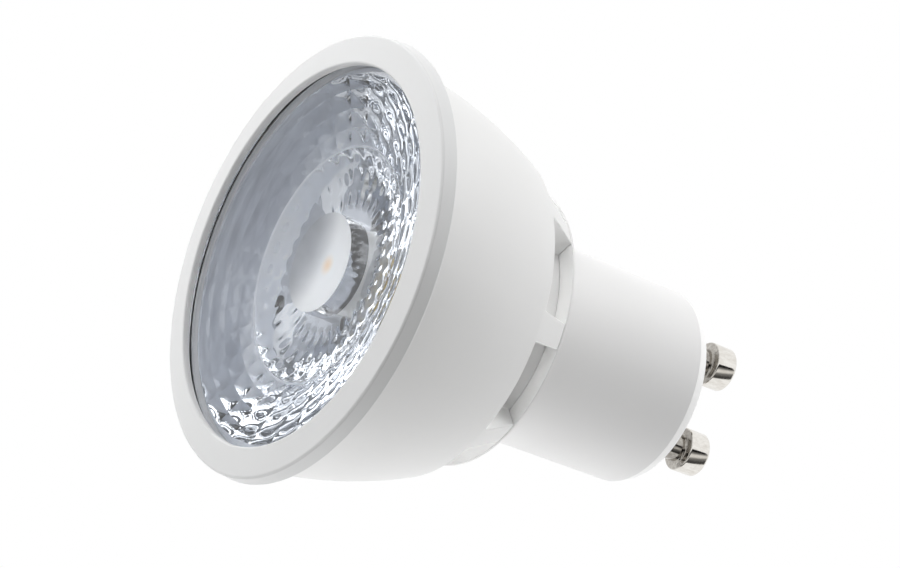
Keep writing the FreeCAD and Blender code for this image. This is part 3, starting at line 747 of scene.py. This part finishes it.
def base_cap():
    slope_z = SHOULDER_Z + FLANGE_RIM + FLANGE_SLOPE
    throat_r = NECK_END_R - NECK_WALL
    spigot_r = BORE_R - FIT
    chamfer_z = NECK_END_Z - NECK_CHAMFER_LENGTH
    cap = lathe("base_shell", (
        (spigot_r - NECK_WALL, SHOULDER_Z - SPIGOT_DEPTH),
        (spigot_r, SHOULDER_Z - SPIGOT_DEPTH, SPIGOT_ROUND),
        (spigot_r, SHOULDER_Z),
        (SHOULDER_R, SHOULDER_Z, FLANGE_RIM / 4),
        (SHOULDER_R, SHOULDER_Z + FLANGE_RIM, FLANGE_RIM / 4),
        (NECK_ROOT_R, slope_z, NECK_ROOT_ROUND),
        (NECK_END_R, chamfer_z, NECK_END_ROUND),
        (NECK_END_R - NECK_CHAMFER, NECK_END_Z, NECK_END_ROUND),
        (0, NECK_END_Z),
        (0, NECK_END_Z - END_WALL),
        (throat_r, NECK_END_Z - END_WALL, NECK_INSIDE_ROUND),
        (throat_r, SHOULDER_Z + THROAT_TAPER),
    ), white_base, "base_cap")

    def under_flange_or_chamfer(radius, z):
        return z < SHOULDER_Z + FLANGE_MARGIN or chamfer_z < z < NECK_END_Z - END_MARGIN

    # painted light under the flange and on the neck's chamfer
    second_finish(cap, painted_fill_white, under_flange_or_chamfer)


def contact_pin(name, node, side):
    inner_end = NECK_END_Z - END_WALL
    under_head = PIN_TIP - PIN_HEAD_LENGTH
    outline = (
        (0, inner_end - PIN_COLLAR - PIN_TAIL),
        (PIN_TAIL_R, inner_end - PIN_COLLAR - PIN_TAIL),
        (PIN_TAIL_R, inner_end - PIN_COLLAR),
        (PIN_COLLAR_R, inner_end - PIN_COLLAR),
        (PIN_COLLAR_R, inner_end),
        (PIN_STEM_R, inner_end),
        (PIN_STEM_R, under_head, PIN_STEM_ROUND),
        (PIN_HEAD_R, under_head, PIN_EDGE),
        (PIN_HEAD_R, PIN_TIP, PIN_FACE_ROUND),
        (0, PIN_TIP),
    )
    x = side * PIN_SPACING / 2
    lathe(name, outline, nickel_pin, node, PIN_SEGMENTS, PIN_CORNER_STEPS, x)


# The lens

LENS_COLUMNS = FACET_COUNT * FACET_STEPS
COLUMN_ANGLE = 2 * math.pi / LENS_COLUMNS
FACET_ANGLE = 2 * math.pi / FACET_COUNT

# The lens's finishes, by their place in its list of materials
CLEAR = 0
FROSTED = 1
WITNESS = 2

# Patch numbers: an edge between two patches stays sharp
FRONT, FRONT_EDGE, RIM, BACK = 1, 2, 3, 4
FIRST_FACET = 10


def facet_place(share, angle):
    """Place on the facet net's cone, before the flats are cut."""
    radius = FACET_RIM_R + (FACET_ROOT_R - FACET_RIM_R) * share
    z = BEZEL_DEPTH + FACET_DEPTH * share + FACET_BULGE * 4 * share * (1 - share)
    return Vector((radius * math.cos(angle), radius * math.sin(angle), z))


def tail_arc(steps):
    """(r, z) places along the bulged tail, from the facets to the hollow's mouth."""
    start_r = FACET_ROOT_R * math.cos(math.pi / FACET_COUNT) - TAIL_INSET
    start = Vector((start_r, BEZEL_DEPTH + FACET_DEPTH))
    end = Vector((LENS_TAIL_R, LENS_TAIL))
    chord = end - start
    outward = Vector((chord.y, -chord.x)).normalized()
    radius = (chord.length ** 2 / 4 + TAIL_BULGE ** 2) / (2 * TAIL_BULGE)
    centre = (start + end) / 2 - outward * (radius - TAIL_BULGE)
    half = math.asin(chord.length / 2 / radius)
    along = chord.normalized()
    places = []
    for step in range(steps + 1):
        angle = half * (2 * step / steps - 1)
        places.append(centre + outward * (radius * math.cos(angle)) + along * (radius * math.sin(angle)))
    return places


def even_ring(bm, radius, z):
    """Ring of the lens's net."""
    ring = []
    for index in range(LENS_COLUMNS):
        angle = COLUMN_ANGLE * index
        ring.append(bm.verts.new((radius * math.cos(angle) * MM, radius * math.sin(angle) * MM, z * MM)))
    return ring


def rooted_ring(bm, share):
    """Ring of the facet net as straight runs between its corners."""
    ring = []
    for column in range(FACET_COUNT):
        start = facet_place(share, FACET_ANGLE * column)
        end = facet_place(share, FACET_ANGLE * (column + 1))
        for step in range(FACET_STEPS):
            ring.append(bm.verts.new(start.lerp(end, step / FACET_STEPS) * MM))
    return ring


def dimpled_ring(bm, radius, z, row):
    """Ring of the tail, swollen a little between the facets' lines."""
    ring = []
    across_row = math.sin(math.pi * row) ** 2
    for index in range(LENS_COLUMNS):
        angle = COLUMN_ANGLE * index
        swell = TAIL_PILLOW * across_row * math.sin(angle * FACET_COUNT / 2) ** 2
        reach = radius + swell
        ring.append(bm.verts.new((
            reach * math.cos(angle) * MM, reach * math.sin(angle) * MM, (z + swell) * MM
        )))
    return ring


def facet_grid(bm, column, front, back):
    """Points of one flat of the net, swollen a little in its middle."""
    left = FACET_ANGLE * column
    right = FACET_ANGLE * (column + 1)
    corners = (
        facet_place(front, left), facet_place(front, right),
        facet_place(back, right), facet_place(back, left),
    )
    outward = (corners[1] - corners[0]).cross(corners[3] - corners[0]).normalized()
    if outward.dot(corners[0]) < 0:
        outward = -outward
    grid = []
    for down in range(FACET_STEPS + 1):
        v = down / FACET_STEPS
        line = []
        for across in range(FACET_STEPS + 1):
            u = across / FACET_STEPS
            place = corners[0].lerp(corners[1], u).lerp(corners[3].lerp(corners[2], u), v)
            swell = FACET_PILLOW * (1 - (2 * u - 1) ** 2) * (1 - (2 * v - 1) ** 2)
            line.append(bm.verts.new((place + outward * swell) * MM))
        grid.append(line)
    return grid


def lens():
    """Clear moulding: flat front, rim, pillowed facets, bulged tail, frosted hollow."""
    bm = bmesh.new()
    patch = bm.faces.layers.int.new("patch")

    def skin(first, second, mark, material=CLEAR):
        for index in range(LENS_COLUMNS):
            after = (index + 1) % LENS_COLUMNS
            face = bm.faces.new((first[index], first[after], second[after], second[index]))
            face[patch] = mark
            face.material_index = material

    front_radii = (POINT_R, *FRONT_RINGS, LENS_RIM_R - LENS_EDGE)
    front_rings = [even_ring(bm, radius, LENS_FRONT) for radius in front_radii]
    for first, second in zip(front_rings, front_rings[1:]):
        skin(first, second, FRONT)
    edge_ring = even_ring(bm, LENS_RIM_R, LENS_FRONT + LENS_EDGE)
    skin(front_rings[-1], edge_ring, FRONT_EDGE)
    rim_back = even_ring(bm, LENS_RIM_R, BEZEL_DEPTH)
    skin(edge_ring, rim_back, RIM)
    skin(rim_back, rooted_ring(bm, 0.0), BACK)

    mark = FIRST_FACET
    for front, back in zip(FACET_ROW_ENDS, FACET_ROW_ENDS[1:]):
        for column in range(FACET_COUNT):
            grid = facet_grid(bm, column, front, back)
            for line, following in zip(grid, grid[1:]):
                for across in range(FACET_STEPS):
                    face = bm.faces.new((
                        line[across], line[across + 1], following[across + 1], following[across]
                    ))
                    face[patch] = mark
            mark += 1

    tail_rings = [rooted_ring(bm, 1.0)]
    for step, (radius, z) in enumerate(tail_arc(TAIL_ROWS * TAIL_STEPS)):
        tail_rings.append(dimpled_ring(bm, radius, z, step / TAIL_STEPS))
    root_mark, tail_mark, mouth_mark, wall_mark, roof_mark = range(mark, mark + 5)
    skin(tail_rings[0], tail_rings[1], root_mark)
    skin(tail_rings[1], tail_rings[2], tail_mark, WITNESS)
    for first, second in zip(tail_rings[2:], tail_rings[3:]):
        skin(first, second, tail_mark)
    mouth = even_ring(bm, CAVITY_R, LENS_TAIL)
    skin(tail_rings[-1], mouth, mouth_mark)
    last = even_ring(bm, CAVITY_R, CAVITY_ROOF)
    skin(mouth, last, wall_mark)
    ball_r = (CAVITY_R ** 2 + PEARL_HEIGHT ** 2) / (2 * PEARL_HEIGHT)
    for step in range(1, DOME_STEPS + 1):
        radius = max(CAVITY_R * (1 - step / DOME_STEPS), POINT_R)
        rise = math.sqrt(ball_r ** 2 - radius ** 2) - (ball_r - PEARL_HEIGHT)
        following = even_ring(bm, radius, CAVITY_ROOF + rise)
        skin(last, following, roof_mark, FROSTED)
        last = following
    bmesh.ops.remove_doubles(bm, verts=bm.verts, dist=LENS_MERGE_DISTANCE)
    for edge in bm.edges:
        faces = edge.link_faces
        edge.smooth = not (len(faces) == 2 and faces[0][patch] != faces[1][patch])
    finishes = [clear_lens, frosted_lens, witness_line]
    finish_piece("lens_moulding", bm, finishes, "lens", sharp=None)


front_bezel()
housing()
base_cap()
contact_pin("pin_a", "contact_pin_left", -1)
contact_pin("pin_b", "contact_pin_right", 1)
lens()

for subpart in frame["record"]["subparts"]:
    if subpart["material_slot"] in INNER:
        carried = frame["nodes"][subpart["node"]]
        carried.data.materials.clear()
        carried.data.materials.append(INNER[subpart["material_slot"]])


# Floor, world, lamps and camera; these lengths are in metres

WHITE = (1.0, 1.0, 1.0, 1.0)
FLOOR_R = 30.0
FLOOR_SEGMENTS = 96
FLOOR_DROP = 0.00002
# The paper fades into plain white between these reaches, from this much white
FLOOR_FADE = (0.05, 0.35)
FLOOR_WHITE = (0.25, 1.0)


def mix_shaders(tree, share, first, second):
    node = tree.nodes.new("ShaderNodeMixShader")
    tree.links.new(share, node.inputs["Fac"])
    tree.links.new(first, node.inputs[1])
    tree.links.new(second, node.inputs[2])
    return node.outputs["Shader"]


def bare_material(name):
    """A material with nothing but its output."""
    material = bpy.data.materials.new(name)
    material.use_nodes = True
    tree = material.node_tree
    tree.nodes.clear()
    return material, tree, tree.nodes.new("ShaderNodeOutputMaterial")


def stage_object(name, bm, material, place, unseen):
    """Makes the mesh being built part of the stage, unseen by some kinds of ray."""
    mesh = bpy.data.meshes.new(name)
    bm.to_mesh(mesh)
    bm.free()
    mesh.materials.append(material)
    made = bpy.data.objects.new(name, mesh)
    made.matrix_world = place
    bpy.context.scene.collection.objects.link(made)
    for flag in unseen:
        setattr(made, flag, False)


def floor():
    """One-sided pale floor: seen from above it takes the shadow, from below it isn't there."""
    material, tree, output = bare_material("pale_floor")
    paper = tree.nodes.new("ShaderNodeBsdfDiffuse")
    tint = clouded(tree, noise(tree, 30.0), (0.86, 0.86, 0.86), (0.88, 0.88, 0.88))
    tree.links.new(tint, paper.inputs["Color"])
    glow = tree.nodes.new("ShaderNodeEmission")
    glow.inputs["Color"].default_value = WHITE
    reach = tree.nodes.new("ShaderNodeVectorMath")
    reach.operation = "LENGTH"
    tree.links.new(own_place(tree), reach.inputs[0])
    fade = map_range(tree, reach.outputs["Value"], FLOOR_FADE, FLOOR_WHITE, smooth=True)
    lit = mix_shaders(tree, fade, paper.outputs["BSDF"], glow.outputs["Emission"])
    clear = tree.nodes.new("ShaderNodeBsdfTransparent")
    side = tree.nodes.new("ShaderNodeNewGeometry")
    one_sided = mix_shaders(tree, side.outputs["Backfacing"], lit, clear.outputs["BSDF"])
    tree.links.new(one_sided, output.inputs["Surface"])
    bm = bmesh.new()
    bmesh.ops.create_circle(bm, cap_ends=True, segments=FLOOR_SEGMENTS, radius=FLOOR_R)
    for face in bm.faces:
        if face.normal.z < 0:
            face.normal_flip()
    unseen = ("visible_diffuse", "visible_glossy", "visible_transmission", "visible_shadow")
    stage_object("floor", bm, material, Matrix.Translation((0, 0, -FLOOR_DROP)), unseen)


# The lamps give all the light that falls on the object, so the backdrop adds none
BACKDROP_LIGHT = 0.0


def world():
    """White backdrop for the eye, gloss and glass."""
    made = bpy.data.worlds.new("studio")
    bpy.context.scene.world = made
    made.use_nodes = True
    tree = made.node_tree
    tree.nodes.clear()
    path = tree.nodes.new("ShaderNodeLightPath")
    seen = path.outputs["Is Camera Ray"]
    for kind in ("Is Glossy Ray", "Is Transmission Ray"):
        either = tree.nodes.new("ShaderNodeMath")
        either.operation = "MAXIMUM"
        tree.links.new(seen, either.inputs[0])
        tree.links.new(path.outputs[kind], either.inputs[1])
        seen = either.outputs["Value"]
    fill = tree.nodes.new("ShaderNodeBackground")
    fill.inputs["Color"].default_value = WHITE
    fill.inputs["Strength"].default_value = BACKDROP_LIGHT
    white = tree.nodes.new("ShaderNodeBackground")
    white.inputs["Color"].default_value = WHITE
    mixed = mix_shaders(tree, seen, fill.outputs["Background"], white.outputs["Background"])
    output = tree.nodes.new("ShaderNodeOutputWorld")
    tree.links.new(mixed, output.inputs["Surface"])


def towards(right, up, ahead):
    """Direction given in the photograph's own terms."""
    return (CAMERA_RIGHT * right + CAMERA_UP * up + CAMERA_AHEAD * ahead).normalized()


def facing_camera(place):
    """Matrix of a thing at a place, in metres, that faces the photograph's camera."""
    right = CAMERA_RIGHT.normalized()
    back = -CAMERA_AHEAD.normalized()
    turn = Matrix((right, back.cross(right).normalized(), back)).transposed().to_4x4()
    turn.translation = place
    return turn


LAMP_REACH = 0.6
LAMP_SIDE = 0.45
# (right, up, ahead) of each soft lamp, and its power in W
LAMPS = (
    ((1, 1, 0), 2.53),
    ((-1, 1, 0), 2.07),
    ((-1, 1, 1), 1.77),
    ((0, 1, -1), 1.28),
    ((0, -1, 0), 1.15),
    ((-1, -1, 0), 1.14),
    ((1, -1, 0), 1.06),
    ((1, 0, 0), 0.86),
    ((0, -1, 1), 0.85),
    ((-1, -1, -1), 0.66),
    ((1, -1, 1), 0.39),
    ((1, 0, 1), 0.31),
)


def lamps():
    for index, (way, power) in enumerate(LAMPS):
        direction = towards(*way)
        data = bpy.data.lights.new(f"soft_{index}", "AREA")
        data.shape = "SQUARE"
        data.size = LAMP_SIDE
        data.energy = power
        lamp = bpy.data.objects.new(f"soft_{index}", data)
        lamp.location = AIM * MM + direction * LAMP_REACH
        lamp.rotation_mode = "QUATERNION"
        lamp.rotation_quaternion = direction.to_track_quat("Z", "Y")
        for flag in ("visible_camera", "visible_glossy"):
            setattr(lamp, flag, False)
        bpy.context.scene.collection.objects.link(lamp)


CARD_AHEAD = -0.2
CARD_HALF_WIDTH = 0.9
CARD_DROP = 0.9
# Brightness of the unlit studio: at the card's top, at shares of its drop, and at its foot
CARD_TOP = (0.01, 0.01, 0.01)
CARD_BANDS = (
    (0.07, 0.01), (0.13, 0.25), (0.18, 0.8), (0.25, 0.8), (0.33, 0.22), (0.55, 0.06), (0.85, 0.05)
)
CARD_FOOT = (0.60, 0.58, 0.55)
CARD_GREEN = 0.98
CARD_BLUE = 0.95
# What glass shows of it
CARD_IN_GLASS = (0.6, 0.6, 0.6)


def dark_card():
    """The unlit studio below and in front of the camera, which gloss and glass show."""
    material, tree, output = bare_material("unlit_studio")
    drop = map_range(tree, own_axis(tree, "Y"), (0.0, -CARD_DROP))
    ramp = tree.nodes.new("ShaderNodeValToRGB")
    tree.links.new(drop, ramp.inputs["Fac"])
    stops = ramp.color_ramp.elements
    stops[0].color = (*CARD_TOP, 1.0)
    stops[1].color = (*CARD_FOOT, 1.0)
    for share, level in CARD_BANDS:
        stops.new(share).color = (level, level * CARD_GREEN, level * CARD_BLUE, 1.0)
    in_glass = tree.nodes.new("ShaderNodeLightPath").outputs["Is Transmission Ray"]
    tint = mix_colours(tree, in_glass, ramp.outputs["Color"], CARD_IN_GLASS)
    glow = tree.nodes.new("ShaderNodeEmission")
    tree.links.new(tint, glow.inputs["Color"])
    tree.links.new(glow.outputs["Emission"], output.inputs["Surface"])
    bm = bmesh.new()
    corners = ((-1, 0), (1, 0), (1, -1), (-1, -1))
    bm.faces.new([bm.verts.new((x * CARD_HALF_WIDTH, y * CARD_DROP, 0.0)) for x, y in corners])
    place = facing_camera(AIM * MM + CAMERA_AHEAD.normalized() * CARD_AHEAD)
    stage_object("dark_card", bm, material, place, ("visible_camera", "visible_diffuse", "visible_shadow"))


SENSOR_WIDTH = 36.0
NEAREST = 0.05
FARTHEST = 100.0


def camera():
    data = bpy.data.cameras.new("photograph")
    data.lens = CAMERA_LENS
    data.sensor_width = SENSOR_WIDTH
    data.clip_start = NEAREST
    data.clip_end = FARTHEST
    eye = bpy.data.objects.new("photograph", data)
    eye.matrix_world = facing_camera(CAMERA_PLACE * MM)
    bpy.context.scene.collection.objects.link(eye)
    bpy.context.scene.camera = eye


floor()
world()
lamps()
dark_card()
camera()
bpy.context.scene.view_settings.view_transform = "Standard"
